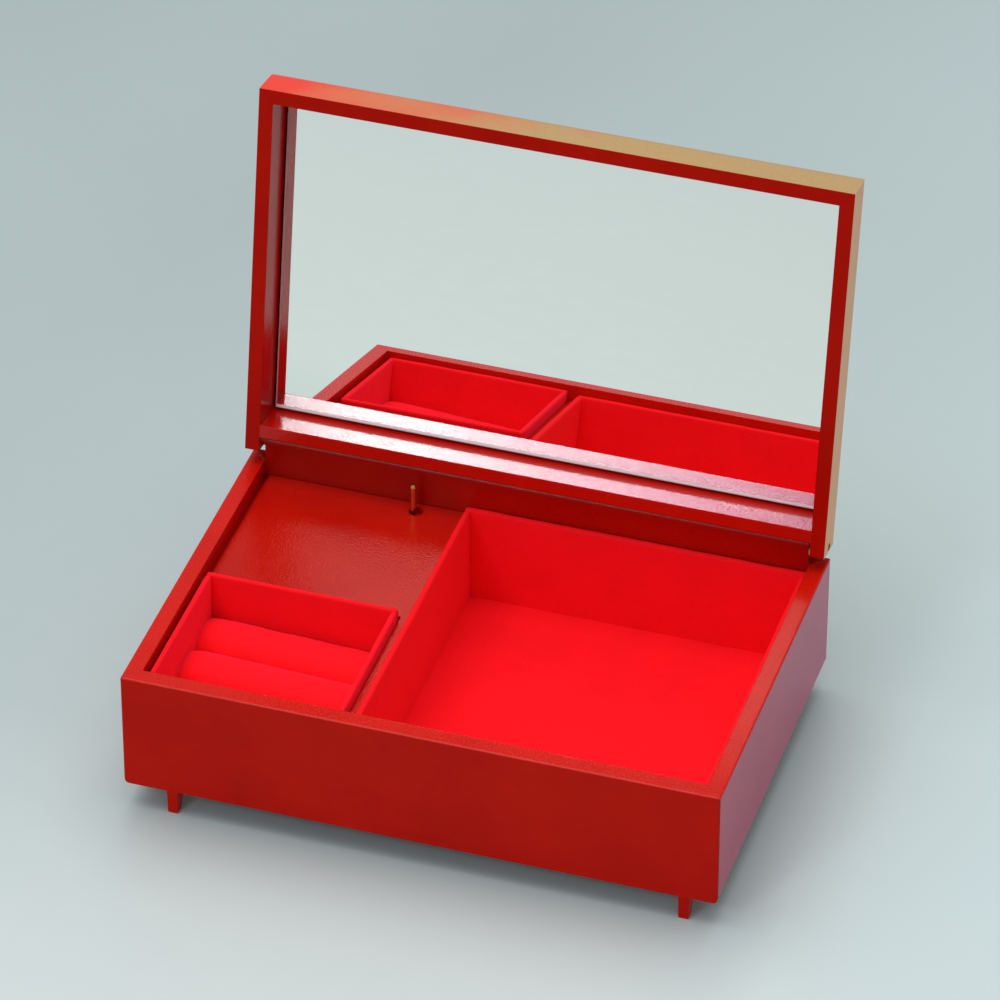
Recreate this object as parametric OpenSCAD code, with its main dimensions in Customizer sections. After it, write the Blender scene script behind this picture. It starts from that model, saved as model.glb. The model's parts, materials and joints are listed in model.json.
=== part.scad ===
// Musical vanity box: a lacquered wooden case on four small feet, a deep mirror lid
// on two hinge pins, felt-lined compartments, a drop-in ring tray and a wound movement
// whose brass stop pin stands through the deck.
// X runs from side to side, Y from front to back, Z up. The lid is drawn open.

/* [Case] */
// Width of the case from side to side
box_w = 200; // [190:1:240]
// Depth of the case from front to back
box_d = 130; // [115:1:160]
// Height of the walls up to the side rims
wall_h = 43.5; // [42:0.5:60]
// Thickness of the wall boards
wall_t = 5.7; // [5.2:0.1:7]
// Thickness of the bottom board
bottom_t = 2.5; // [2:0.1:3.5]
// Width of the rebate that holds the bottom board
bottom_rebate = 2.6; // [1.5:0.1:3]
// Rounding of the two long lower side edges
side_bottom_r = 2.5; // [0.6:0.1:2.9]
// Softening of the other outer edges
edge_r = 0.6; // [0.3:0.1:1]

/* [Feet] */
// Height of each foot below the case
foot_h = 9.2; // [9:0.1:14]
// Width of a foot where it meets the case
foot_w = 3.8; // [3.4:0.1:6]
// Depth of a foot where it meets the case
foot_d = 7.5; // [5:0.1:9]
// Width and depth of a foot at the ground
foot_tip = 3.3; // [2.4:0.1:3.4]
// Distance of the left feet from the left side
foot_left_inset = 14.3; // [6:0.1:30]
// Distance of the right feet from the right side
foot_right_inset = 9.5; // [6:0.1:30]
// Distance of the feet from the front and back faces
foot_face_inset = 0.9; // [0.6:0.1:4]

/* [Back wall and hinge] */
// Height that the back wall rises above the side rims
back_rise = 9; // [8:0.1:9.3]
// Rounding of the raised wall's front edge
rise_front_r = 2; // [1.5:0.1:2.5]
// Rounding of the raised wall's back edge
rise_back_r = 2.2; // [1.8:0.1:2.5]
// Side gap between a lid ear and the raised wall
ear_gap = 1.1; // [0.6:0.1:3]
// Radius of the hinge pins
pin_r = 0.9; // [0.7:0.05:1.1]
// Distance of the hinge axis from the back face
pin_from_back = 2.65; // [2.5:0.05:3]
// Height of the hinge axis above the lid's rim when it is shut
pin_above_rim = 6.2; // [6:0.1:6.6]
// Radius of the collar that keeps each ear off the raised wall
pin_collar_r = 2; // [1.4:0.1:2.3]
// Gap between that collar and the raised wall
pin_collar_gap = 0.2; // [0.1:0.05:0.3]
// Depth of each hinge pin in the raised wall
pin_in_wall = 8; // [5:0.5:14]
// Depth of the sink in the ear over each pin's outer end
pin_recess = 1.3; // [0.3:0.1:1.8]
// Radius of that sink
pin_sink_r = 1.35; // [1.2:0.05:1.6]
// Radial clearance of shafts that turn or slide
run_clear = 0.05; // [0.03:0.01:0.08]
// Clearance of the lid over the raised wall in its swing
swing_gap = 0.3; // [0.2:0.05:0.4]

/* [Lid] */
// Full thickness of the lid
lid_t = 17.7; // [16.5:0.1:22]
// Rounding of the lid's outer edges
lid_edge_r = 6.8; // [6:0.1:8.5]
// Thickness of the lid's side and front rails
rail_t = 4.9; // [4:0.1:5.5]
// Thickness of the rail beside the hinge
hinge_rail_t = 4.5; // [4:0.1:6]
// Thickness of the lid's top board
lid_top_t = 2.2; // [1.8:0.1:2.6]
// Gap between the shut lid and the side rims
lid_gap = 0.2; // [0.1:0.05:0.4]
// Distance that the lid stands over the front face
lid_overhang = 2.5; // [0:0.1:3]
// Length of the ears past the hinge axis
ear_past_pin = 1.6; // [1.5:0.1:2]
// Angle to which the lid opens before it meets the back wall
open_angle = 99.9; // [80:0.1:100]
// Thickness of the mirror glass
mirror_t = 2.6; // [2:0.1:3]
// Gap around the mirror glass
mirror_gap = 0.8; // [0.4:0.1:1.5]
// Ground bevel along the mirror's edges
mirror_bevel = 0.6; // [0.2:0.1:1]

/* [Compartments] */
// Width of the bays on the left side
left_bay_w = 67.7; // [66:0.1:75]
// Depth of the movement's bay at the back
movement_bay_d = 57.1; // [57:0.1:62]
// Thickness of the long divider
divider_t = 3; // [2.8:0.1:5]
// Thickness of the short cross wall
cross_t = 3; // [2:0.1:4]
// Depth of the lacquered deck below the side rims
deck_drop = 5.6; // [5:0.1:7]
// Thickness of the deck
deck_t = 2.5; // [2:0.1:3]
// Gap between the deck and the left wall
deck_side_gap = 1.6; // [0.5:0.1:2.5]
// Gap between the deck and the other walls
deck_gap = 0.3; // [0.2:0.1:0.6]
// Width and height of the wooden cleats
cleat = 6; // [5:0.1:7]
// Depth of the back cleat, which guides the stop pin
back_cleat_d = 8.7; // [8:0.1:10]
// Thickness of the felt-covered lining boards
lining_t = 1.2; // [0.8:0.1:2]
// Depth of the lining's top below the side rims
lining_drop = 3; // [2:0.1:6]
// Gap behind the lining boards
lining_gap = 0.2; // [0.1:0.05:0.4]

/* [Ring tray] */
// Height of the ring tray
tray_h = 26.5; // [22:0.5:28]
// Thickness of the tray's padded walls
tray_wall_t = 1.8; // [1.5:0.1:3.5]
// Thickness of the tray's base
tray_base_t = 2; // [1.5:0.1:2.5]
// Depth of the tray's top below the side rims
tray_drop = 1.9; // [1:0.1:5]
// Gap between the tray and the left wall
tray_left_gap = 1.5; // [0.5:0.1:2.5]
// Gap between the tray and the divider
tray_right_gap = 0.5; // [0.4:0.1:1.5]
// Gap before and behind the tray
tray_end_gap = 0.6; // [0.4:0.1:1.2]
// Number of padded ring rolls
roll_count = 3; // [3:1:4]
// Height of the straight flank below each roll's crown
roll_flank = 3; // [2:0.1:6]
// Depth of the rolls' squeeze against each other
roll_gap = 0.1; // [0.05:0.05:0.3]
// Width and height of the ledges that carry the tray
ledge = 5; // [3:0.1:7]

/* [Movement place] */
// Distance of the winding axis from the left wall's inner face
wind_from_left = 16.3; // [15:0.1:18]
// Gap between the bedplate and the cross wall
bed_gap = 4.8; // [1:0.1:5]

/* [Movement frame] */
// Thickness of the bedplate
bed_t = 1.8; // [1.4:0.1:2.5]
// Length of the bedplate to the left of the winding axis
bed_left = 11; // [10.5:0.1:13]
// Length of the bedplate to the right of the winding axis
bed_right = 39; // [38.6:0.1:42]
// Length of the bedplate in front of the winding axis
bed_front = 21; // [20.5:0.1:23]
// Length of the bedplate behind the winding axis
bed_back = 17; // [16:0.1:18]
// Rounding of the bedplate's corners
bed_corner_r = 2.5; // [1:0.1:4]
// Radius of the screws that hold the movement
bed_screw_r = 1.2; // [1:0.05:1.4]
// Radius of those screws' heads
bed_screw_head_r = 2.3; // [2:0.1:3]
// Height of those screws' heads
bed_screw_head_h = 1.4; // [1:0.1:2]
// Thickness of the bridge over the spring barrel
bridge_t = 1.6; // [1.2:0.1:1.8]
// Thickness of the governor's frame
frame_t = 1.6; // [1.2:0.1:1.8]
// Radius of the cylinder's arbor
arbor_r = 0.8; // [0.7:0.05:0.9]

/* [Spring barrel and winding] */
// Radius of the spring barrel
barrel_r = 10; // [10:0.1:10.3]
// Height of the spring barrel
barrel_h = 8; // [7:0.1:9]
// Wall of the spring barrel
barrel_wall = 0.9; // [0.7:0.1:1.2]
// Gap between the barrel and the bedplate
barrel_lift = 0.4; // [0.2:0.1:0.6]
// Tooth module of the crown wheel
crown_m = 0.5; // [0.5:0.01:0.51]
// Teeth of the crown wheel
crown_teeth = 36; // [36:1:36]
// Teeth of the cylinder's pinion
pinion_teeth = 12; // [12:1:12]
// Face width of the crown wheel and its pinion
crown_face = 1.6; // [1.2:0.1:1.8]
// Radius of the winding arbor
wind_r = 1.5; // [1.2:0.05:1.8]
// Half the span of the winding key's wings
key_reach = 8; // [6:0.1:10]
// Height of the winding key's wings
key_wing_h = 5.2; // [4:0.1:5.5]
// Thickness of the winding key's wings
key_wing_t = 1.2; // [0.8:0.1:1.6]
// Gap between the bottom board and the winding key
key_gap = 1.2; // [0.6:0.1:1.6]
// Radius of the winding hole in the bottom board
key_hole_r = 4; // [3:0.1:5]

/* [Cylinder and comb] */
// Radius of the pinned cylinder
drum_r = 5.4; // [5:0.1:5.7]
// Length of the pinned cylinder
drum_l = 19.5; // [19:0.1:19.8]
// Height of the cylinder's pins
music_pin_h = 0.45; // [0.3:0.05:0.5]
// Radius of the cylinder's pins
music_pin_r = 0.2; // [0.15:0.01:0.25]
// Number of tuned teeth on the comb
notes = 18; // [18:1:18]
// Length of the comb's teeth
tooth_l = 7.5; // [6:0.1:8]
// Thickness of the comb
comb_t = 1; // [0.8:0.1:1.3]
// Width of the slots between the comb's teeth
slot_w = 0.25; // [0.15:0.01:0.3]
// Gap between the comb and the cylinder
comb_gap = 0.6; // [0.55:0.05:0.8]
// Radius of the comb's screws
comb_screw_r = 1; // [0.8:0.05:1.2]

/* [Gear train and governor] */
// Tooth module of the train
train_m = 0.4; // [0.4:0.01:0.41]
// Teeth of the wheel on the cylinder
drum_wheel_teeth = 40; // [40:1:40]
// Teeth of the idler's pinion
idler_pinion_teeth = 10; // [10:1:10]
// Teeth of the idler's worm wheel
worm_wheel_teeth = 24; // [24:1:24]
// Thickness of the wheels in the train
wheel_t = 1.2; // [1:0.1:1.3]
// Pitch radius of the governor's worm
worm_r = 1.1; // [1:0.05:1.2]
// Length of the governor's worm
worm_l = 7; // [6:0.1:8]
// Radius of the governor's fan
fan_r = 3.4; // [2.5:0.1:3.4]
// Height of the governor's fan
fan_h = 3.2; // [2:0.1:3.4]
// Thickness of the fan's vanes
fan_t = 0.5; // [0.3:0.1:0.8]

/* [Stop pin] */
// Radius of the brass stop pin
stop_r = 1; // [0.8:0.05:1.2]
// Height of the stop pin above the deck with the lid open
stop_rise = 11; // [9:0.1:11.5]
// Travel of the stop pin when the lid shuts on it
stop_travel = 5.5; // [5.3:0.1:6]
// Distance of the stop pin to the left of its lever
stop_beside_lever = 1.2; // [0.8:0.1:1.4]
// Distance of the stop pin in front of the back wall
stop_from_back = 4.7; // [4.5:0.1:5]
// Radius of the hole in the deck
stop_hole_r = 2.4; // [2.2:0.1:3]
// Sideways offset of the hole from the stop pin
stop_hole_shift = 0.9; // [0:0.1:1]
// Thickness of the stop lever
lever_t = 1; // [0.8:0.1:1.2]
// Distance of the lever's pivot behind the winding axis
lever_behind = 7; // [5:0.1:8]
// Gap between the stop pin and its lever with the lid open
lever_gap = 0.1; // [0.05:0.05:0.2]

/* [Hidden] */
$fn = 48;

lacquer = [0.62, 0.09, 0.05];
lacquer_dark = [0.5, 0.06, 0.04];
felt = [0.93, 0.08, 0.1];
gold = [0.8, 0.64, 0.4];
bare_wood = [0.72, 0.55, 0.36];
brass = [0.8, 0.62, 0.3];
steel = [0.62, 0.64, 0.66];
zinc = [0.7, 0.71, 0.72];

// Cuts run this far past the faces that they go through
past = 1;

half_w = box_w / 2;
inner_left = -half_w + wall_t;
inner_right = half_w - wall_t;
inner_front = wall_t;
inner_back = box_d - wall_t;
wall_top = wall_h + back_rise;
rise_half = half_w - rail_t - ear_gap;

// Hinge axis and the lid's faces when it is shut
pin_y = box_d - pin_from_back;
pin_z = wall_h + lid_gap + pin_above_rim;
lid_z = wall_h + lid_gap;
lid_front_y = -lid_overhang;
lid_back_y = pin_y + ear_past_pin;
lid_l = lid_back_y - lid_front_y;
rail_h = lid_t - lid_top_t;

// How far the raised wall reaches from the hinge axis, in front and behind
function reach(dy, dz, r) = norm([dy, dz]) + r;
front_reach = reach(inner_back + rise_front_r - pin_y, wall_top - rise_front_r - pin_z, rise_front_r);
back_reach = reach(box_d - rise_back_r - pin_y, wall_top - rise_back_r - pin_z, rise_back_r);
hinge_rail_back = pin_y - front_reach - swing_gap;
hinge_rail_front = hinge_rail_back - hinge_rail_t;
overhang_z = pin_z + back_reach + swing_gap * 0.6;

// Furthest point of the open lid, and the middle of the whole object
edge_centre_y = lid_front_y + lid_edge_r - pin_y;
edge_centre_z = lid_z + lid_t - lid_edge_r - pin_z;
open_back_y = pin_y + edge_centre_y * cos(open_angle) + edge_centre_z * sin(open_angle) + lid_edge_r;
origin_y = open_back_y / 2;

// Bays and boards inside the case
bottom_z = bottom_t;
divider_x = inner_left + left_bay_w;
big_x = divider_x + divider_t;
cross_y = inner_back - movement_bay_d - cross_t;
ring_bay_d = cross_y - inner_front;
deck_top = wall_h - deck_drop;
deck_z = deck_top - deck_t;
lining_top = wall_h - lining_drop;

// Ring tray
tray_x = inner_left + tray_left_gap;
tray_y = inner_front + tray_end_gap;
tray_w = left_bay_w - tray_left_gap - tray_right_gap;
tray_d = ring_bay_d - 2 * tray_end_gap;
tray_top = wall_h - tray_drop;
tray_z = tray_top - tray_h;
tray_floor = tray_z + tray_base_t;
roll_pitch = (tray_d - 2 * tray_wall_t) / roll_count;
roll_r = roll_pitch / 2 - roll_gap;

// Movement: the winding axis carries the barrel, and the train lies to its right
wind_x = inner_left + wind_from_left;
wind_y = cross_y + cross_t + bed_gap + bed_front;
bed_top = bottom_z + bed_t;
barrel_z = bed_top + barrel_lift;
barrel_top = barrel_z + barrel_h;
crown_r = crown_m * crown_teeth / 2;
pinion_r = crown_m * pinion_teeth / 2;
axis_z = barrel_top + crown_m * 1.1 + pinion_r;
train_gap = 0.6;
drum_x = wind_x + crown_r + crown_face / 2 + 1.7;
drum_wheel_x = drum_x + drum_l + 2 * train_gap - 0.2;
drum_wheel_r = train_m * drum_wheel_teeth / 2;
idler_y = wind_y + drum_wheel_r + train_m * idler_pinion_teeth / 2;
worm_wheel_x = drum_wheel_x + wheel_t + train_gap;
worm_wheel_r = train_m * worm_wheel_teeth / 2;
worm_x = worm_wheel_x + wheel_t / 2;
worm_y = idler_y + worm_wheel_r + worm_r;
frame_x = worm_wheel_x + wheel_t + 2 * train_gap;
frame_back = idler_y + 2;
bridge_x = wind_x + crown_r - crown_face / 2 - 3.6;
bridge_leg = 2.4;
bridge_half = barrel_r + 1.5;
comb_y = wind_y - drum_r - comb_gap;
comb_root = comb_y - tooth_l;
comb_back = wind_y - bed_front + 1;
comb_pitch = drum_l / notes;
fan_z = axis_z - worm_wheel_r - fan_h - 0.9;
worm_z = axis_z - worm_l / 2;
arm_low = fan_z - 2.2;
arm_high = axis_z + worm_wheel_r + 0.9;
shaft_r = 0.5;

// Stop pin and its lever
lever_x = frame_x + frame_t + 0.4;
lever_y = wind_y + lever_behind;
stop_x = lever_x + lever_t / 2 - stop_beside_lever;
stop_y = inner_back - stop_from_back;
stop_top = deck_top + stop_rise;
lever_z = bed_top + 7;
lever_bar = 2.4;
pad_t = 0.8;
pad_top = lever_z + lever_bar / 2 + pad_t;
stop_bottom = pad_top + lever_gap;
stop_collar_r = 2;
stop_collar_h = 1.2;

// Everything stands on z = 0, centred under the open box
module placed() {
    translate([0, -origin_y, foot_h]) children();
}

// Turns the lid's pieces from shut to open about the hinge axis
module opened() {
    translate([0, pin_y, pin_z]) rotate([-open_angle, 0, 0]) translate([0, -pin_y, -pin_z])
        children();
}

// What a rounding takes off a square corner; dir points into the shape
module corner_notch(at, dir, r) {
    difference() {
        translate([dir[0] > 0 ? at[0] - past : at[0] - r, dir[1] > 0 ? at[1] - past : at[1] - r])
            square(r + past);
        translate([at[0] + dir[0] * r, at[1] + dir[1] * r]) circle(r);
    }
}

// Rectangle with its own rounding at each corner: low left, low right, top right, top left
module rounded_rect(w, h, r) {
    difference() {
        square([w, h]);
        if (r[0] > 0) corner_notch([0, 0], [1, 1], r[0]);
        if (r[1] > 0) corner_notch([w, 0], [-1, 1], r[1]);
        if (r[2] > 0) corner_notch([w, h], [-1, -1], r[2]);
        if (r[3] > 0) corner_notch([0, h], [1, -1], r[3]);
    }
}

// Extrudes a Y-Z profile from x0 to x1
module along_x(x0, x1) {
    translate([x0, 0, 0]) rotate([90, 0, 90]) linear_extrude(x1 - x0) children();
}

// Extrudes an X-Z profile from y0 to y1
module along_y(y0, y1) {
    translate([0, y1, 0]) rotate([90, 0, 0]) linear_extrude(y1 - y0) children();
}

module block(x0, y0, z0, x1, y1, z1) {
    translate([x0, y0, z0]) cube([x1 - x0, y1 - y0, z1 - z0]);
}

// Pin or bore along X
module rod_x(x0, x1, y, z, r) {
    translate([x0, y, z]) rotate([0, 90, 0]) cylinder(h = x1 - x0, r = r);
}

// Whole outside of the case up to the side rims
module case_outside() {
    intersection() {
        along_y(0, box_d) translate([-half_w, 0])
            rounded_rect(box_w, wall_h, [side_bottom_r, side_bottom_r, edge_r, edge_r]);
        along_x(-half_w, half_w) rounded_rect(box_d, wall_h, [edge_r, edge_r, edge_r, edge_r]);
        linear_extrude(wall_h) translate([-half_w, 0])
            rounded_rect(box_w, box_d, [edge_r, edge_r, edge_r, edge_r]);
    }
}

// Outline of the bottom board, which is also the rebate in the walls
module bottom_outline() {
    translate([inner_left - bottom_rebate, inner_front - bottom_rebate])
        square([inner_right - inner_left + 2 * bottom_rebate, inner_back - inner_front + 2 * bottom_rebate]);
}

// One wall of the case, cut by its mitred plan and rebated for the bottom board
module case_wall(plan) {
    difference() {
        intersection() {
            case_outside();
            linear_extrude(wall_h) polygon(plan);
        }
        translate([0, 0, -past]) linear_extrude(bottom_t + past) bottom_outline();
    }
}

module front_wall() {
    color(lacquer) placed() case_wall([
        [-half_w, 0], [half_w, 0], [inner_right, inner_front], [inner_left, inner_front]
    ]);
}

module left_wall() {
    color(lacquer) placed() case_wall([
        [-half_w, 0], [inner_left, inner_front], [inner_left, inner_back], [-half_w, box_d]
    ]);
}

module right_wall() {
    color(lacquer) placed() case_wall([
        [half_w, 0], [half_w, box_d], [inner_right, inner_back], [inner_right, inner_front]
    ]);
}

module back_wall() {
    color(lacquer) placed() difference() {
        union() {
            case_wall([
                [-half_w, box_d], [inner_left, inner_back], [inner_right, inner_back], [half_w, box_d]
            ]);
            along_x(-rise_half, rise_half) translate([inner_back, wall_h - past])
                rounded_rect(wall_t, back_rise + past, [0, 0, rise_back_r, rise_front_r]);
        }
        for (side = [-1, 1])
            rod_x(side < 0 ? -rise_half - past : rise_half - pin_in_wall,
                side < 0 ? -rise_half + pin_in_wall : rise_half + past, pin_y, pin_z, pin_r + run_clear);
    }
}

module bottom_board() {
    color(bare_wood) placed() difference() {
        linear_extrude(bottom_t) bottom_outline();
        translate([wind_x, wind_y, -past]) cylinder(h = bottom_t + 2 * past, r = key_hole_r);
        bed_screw_places() translate([0, 0, -past])
            cylinder(h = bottom_t + 2 * past, r = bed_screw_r + run_clear);
    }
}

// Tapered peg foot: x0 is its outer side, inward points to the box's middle
module foot(x0, inward, at_back) {
    side_lean = (foot_w - foot_tip) / 2;
    face = at_back ? box_d - foot_face_inset : foot_face_inset;
    back = at_back ? face - foot_d : face + foot_d;
    tip = at_back ? face - foot_tip : face + foot_tip;
    color(lacquer) placed() intersection() {
        along_y(0, box_d) polygon([
            [x0, 0], [x0 + inward * foot_w, 0],
            [x0 + inward * (foot_w - side_lean), -foot_h], [x0 + inward * side_lean, -foot_h]
        ]);
        along_x(-half_w, half_w) polygon([[face, 0], [back, 0], [tip, -foot_h], [face, -foot_h]]);
    }
}

module foot_front_left() { foot(-half_w + foot_left_inset, 1, false); }
module foot_front_right() { foot(half_w - foot_right_inset, -1, false); }
module foot_back_left() { foot(-half_w + foot_left_inset, 1, true); }
module foot_back_right() { foot(half_w - foot_right_inset, -1, true); }

module long_divider() {
    color(bare_wood) placed() block(divider_x, inner_front, bottom_z, big_x, inner_back, deck_z);
}

module cross_wall() {
    color(bare_wood) placed() block(inner_left, cross_y, bottom_z, divider_x, cross_y + cross_t, deck_z);
}

// Lacquered cover of the movement, with an arm forward along the divider
module deck() {
    x0 = inner_left + deck_side_gap;
    y1 = inner_back - deck_gap;
    color(lacquer_dark) placed() difference() {
        translate([0, 0, deck_z]) linear_extrude(deck_t) polygon([
            [x0, cross_y], [divider_x, cross_y], [divider_x, inner_front + deck_gap],
            [big_x, inner_front + deck_gap], [big_x, y1], [x0, y1]
        ]);
        translate([stop_x + stop_hole_shift, stop_y, deck_z - past])
            cylinder(h = deck_t + 2 * past, r = stop_hole_r);
    }
}

module left_cleat() {
    color(bare_wood) placed()
        block(inner_left, cross_y + cross_t, deck_z - cleat, inner_left + cleat,
            inner_back - back_cleat_d, deck_z);
}

// Cleat below the deck's back edge; its bore guides the stop pin
module back_cleat() {
    color(bare_wood) placed() difference() {
        block(inner_left, inner_back - back_cleat_d, deck_z - cleat, divider_x, inner_back, deck_z);
        translate([stop_x, stop_y, deck_z - cleat - past])
            cylinder(h = cleat + 2 * past, r = stop_r + run_clear);
    }
}

module tray_ledges() {
    color(bare_wood) placed() {
        block(inner_left, inner_front, tray_z - ledge, inner_left + ledge, cross_y, tray_z);
        block(divider_x - ledge, inner_front, tray_z - ledge, divider_x, cross_y, tray_z);
    }
}

// Felt-covered boards that line the large compartment
lin_x0 = big_x + lining_gap;
lin_x1 = inner_right - lining_gap;
lin_y0 = inner_front + lining_gap;
lin_y1 = inner_back - lining_gap;
lin_z = bottom_z + lining_t;

module lining_floor() {
    color(felt) placed() block(lin_x0, lin_y0, bottom_z, lin_x1, lin_y1, lin_z);
}

// Lining board with its covered top edge rounded
module lining_long(y0) {
    color(felt) placed() along_x(lin_x0, lin_x1) translate([y0, lin_z])
        rounded_rect(lining_t, lining_top - lin_z, [0, 0, lining_t / 2.2, lining_t / 2.2]);
}

module lining_short(x0) {
    color(felt) placed() along_y(lin_y0 + lining_t, lin_y1 - lining_t) translate([x0, lin_z])
        rounded_rect(lining_t, lining_top - lin_z, [0, 0, lining_t / 2.2, lining_t / 2.2]);
}

module lining_front() { lining_long(lin_y0); }
module lining_back() { lining_long(lin_y1 - lining_t); }
module lining_left() { lining_short(lin_x0); }
module lining_right() { lining_short(lin_x1 - lining_t); }

// Drop-in ring tray: base, four padded walls and the rolls that grip the rings
module tray_base() {
    color(felt) placed() block(tray_x, tray_y, tray_z, tray_x + tray_w, tray_y + tray_d, tray_floor);
}

module tray_long(y0) {
    color(felt) placed() along_x(tray_x, tray_x + tray_w) translate([y0, tray_floor])
        rounded_rect(tray_wall_t, tray_top - tray_floor, [0, 0, tray_wall_t / 2.2, tray_wall_t / 2.2]);
}

module tray_short(x0) {
    color(felt) placed() along_y(tray_y + tray_wall_t, tray_y + tray_d - tray_wall_t)
        translate([x0, tray_floor])
            rounded_rect(tray_wall_t, tray_top - tray_floor,
                [0, 0, tray_wall_t / 2.2, tray_wall_t / 2.2]);
}

module tray_front() { tray_long(tray_y); }
module tray_back() { tray_long(tray_y + tray_d - tray_wall_t); }
module tray_left() { tray_short(tray_x); }
module tray_right() { tray_short(tray_x + tray_w - tray_wall_t); }

// Padded roll with a round crown; index 0 is at the front
module ring_roll(index) {
    y_mid = tray_y + tray_wall_t + roll_pitch * (index + 0.5);
    color(felt) placed() along_x(tray_x + tray_wall_t, tray_x + tray_w - tray_wall_t)
        translate([y_mid, tray_floor]) {
            translate([-roll_r, 0]) square([2 * roll_r, roll_flank]);
            intersection() {
                translate([0, roll_flank]) circle(roll_r);
                translate([-roll_r, 0]) square([2 * roll_r, roll_flank + roll_r]);
            }
        }
}

module ring_roll_front() { ring_roll(0); }
module ring_roll_middle() { for (index = [1 : roll_count - 2]) ring_roll(index); }
module ring_roll_back() { ring_roll(roll_count - 1); }

// Whole outside of the shut lid
module lid_outside() {
    intersection() {
        along_y(lid_front_y, lid_back_y) translate([-half_w, lid_z])
            rounded_rect(box_w, lid_t, [0, 0, lid_edge_r, lid_edge_r]);
        along_x(-half_w, half_w) translate([lid_front_y, lid_z])
            rounded_rect(lid_l, lid_t, [0, 0, lid_edge_r, lid_edge_r]);
    }
}

// The ears' lower corners are rounded to swing clear of the rims
module ear_relief() {
    swing_r = pin_above_rim + lid_gap / 2;
    difference() {
        block(-half_w - past, pin_y, lid_z - past, half_w + past, lid_back_y + past, pin_z);
        rod_x(-half_w - 2 * past, half_w + 2 * past, pin_y, pin_z, swing_r);
    }
}

// Side rail with its ear; side is -1 on the left and 1 on the right
module side_rail(side) {
    outer = side * half_w;
    inner = side * (half_w - rail_t);
    color(gold) placed() opened() difference() {
        intersection() {
            lid_outside();
            translate([0, 0, lid_z]) linear_extrude(rail_h) polygon([
                [outer, lid_front_y], [inner, lid_front_y + rail_t], [inner, lid_back_y],
                [outer, lid_back_y]
            ]);
        }
        ear_relief();
        rod_x(min(outer, inner) - past, max(outer, inner) + past, pin_y, pin_z, pin_r);
        rod_x(min(outer, outer - side * pin_recess) - (side < 0 ? past : 0),
            max(outer, outer - side * pin_recess) + (side > 0 ? past : 0), pin_y, pin_z, pin_sink_r);
    }
}

module lid_left_rail() { side_rail(-1); }
module lid_right_rail() { side_rail(1); }

module lid_front_rail() {
    inner = half_w - rail_t;
    color(lacquer) placed() opened() intersection() {
        lid_outside();
        translate([0, 0, lid_z]) linear_extrude(rail_h) polygon([
            [-half_w, lid_front_y], [half_w, lid_front_y],
            [inner, lid_front_y + rail_t], [-inner, lid_front_y + rail_t]
        ]);
    }
}

// Rail beside the hinge, stepped back over the raised wall
module lid_hinge_rail() {
    inner = half_w - rail_t;
    color(lacquer) placed() opened() intersection() {
        lid_outside();
        along_x(-inner, inner) polygon([
            [hinge_rail_front, lid_z], [hinge_rail_back, lid_z], [hinge_rail_back, overhang_z],
            [lid_back_y, overhang_z], [lid_back_y, lid_z + rail_h], [hinge_rail_front, lid_z + rail_h]
        ]);
    }
}

module lid_top() {
    color(gold) placed() opened() intersection() {
        lid_outside();
        block(-half_w, lid_front_y, lid_z + rail_h, half_w, lid_back_y, lid_z + lid_t);
    }
}

// Mirror glass with a ground bevel on its face, seated on the top board
module mirror() {
    x1 = half_w - rail_t - mirror_gap;
    y0 = lid_front_y + rail_t + mirror_gap;
    y1 = hinge_rail_front - mirror_gap;
    z1 = lid_z + rail_h;
    z0 = z1 - mirror_t;
    bevel = mirror_bevel;
    color([0.75, 0.8, 0.78]) placed() opened() intersection() {
        along_y(y0, y1) polygon([
            [-x1 + bevel, z0], [x1 - bevel, z0], [x1, z0 + bevel], [x1, z1], [-x1, z1], [-x1, z0 + bevel]
        ]);
        along_x(-x1, x1) polygon([
            [y0 + bevel, z0], [y1 - bevel, z0], [y1, z0 + bevel], [y1, z1], [y0, z1], [y0, z0 + bevel]
        ]);
    }
}

// Brass pin through one ear into the raised wall, with a collar between the two
module hinge_pin(side) {
    outer = side * (half_w - pin_recess);
    inner = side * (rise_half - pin_in_wall + 0.3);
    ear = side * (half_w - rail_t);
    wall = side * (rise_half + pin_collar_gap);
    color(brass) placed() opened() {
        rod_x(min(outer, inner), max(outer, inner), pin_y, pin_z, pin_r);
        rod_x(min(ear, wall), max(ear, wall), pin_y, pin_z, pin_collar_r);
    }
}

module hinge_pin_left() { hinge_pin(-1); }
module hinge_pin_right() { hinge_pin(1); }

// Where the screws go up into the bedplate
module bed_screw_places() {
    for (at = [[3 - bed_left, 3 - bed_front], [3 - bed_left, bed_back - 3], [bed_right - 3, 3 - bed_front]])
        translate([wind_x + at[0], wind_y + at[1], 0]) children();
}

// Where the screws go down through the comb
module comb_screw_places() {
    for (x = [drum_x + comb_pitch * 3, drum_x + drum_l - comb_pitch * 3])
        translate([x, (comb_back + comb_root) / 2, 0]) children();
}

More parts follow.
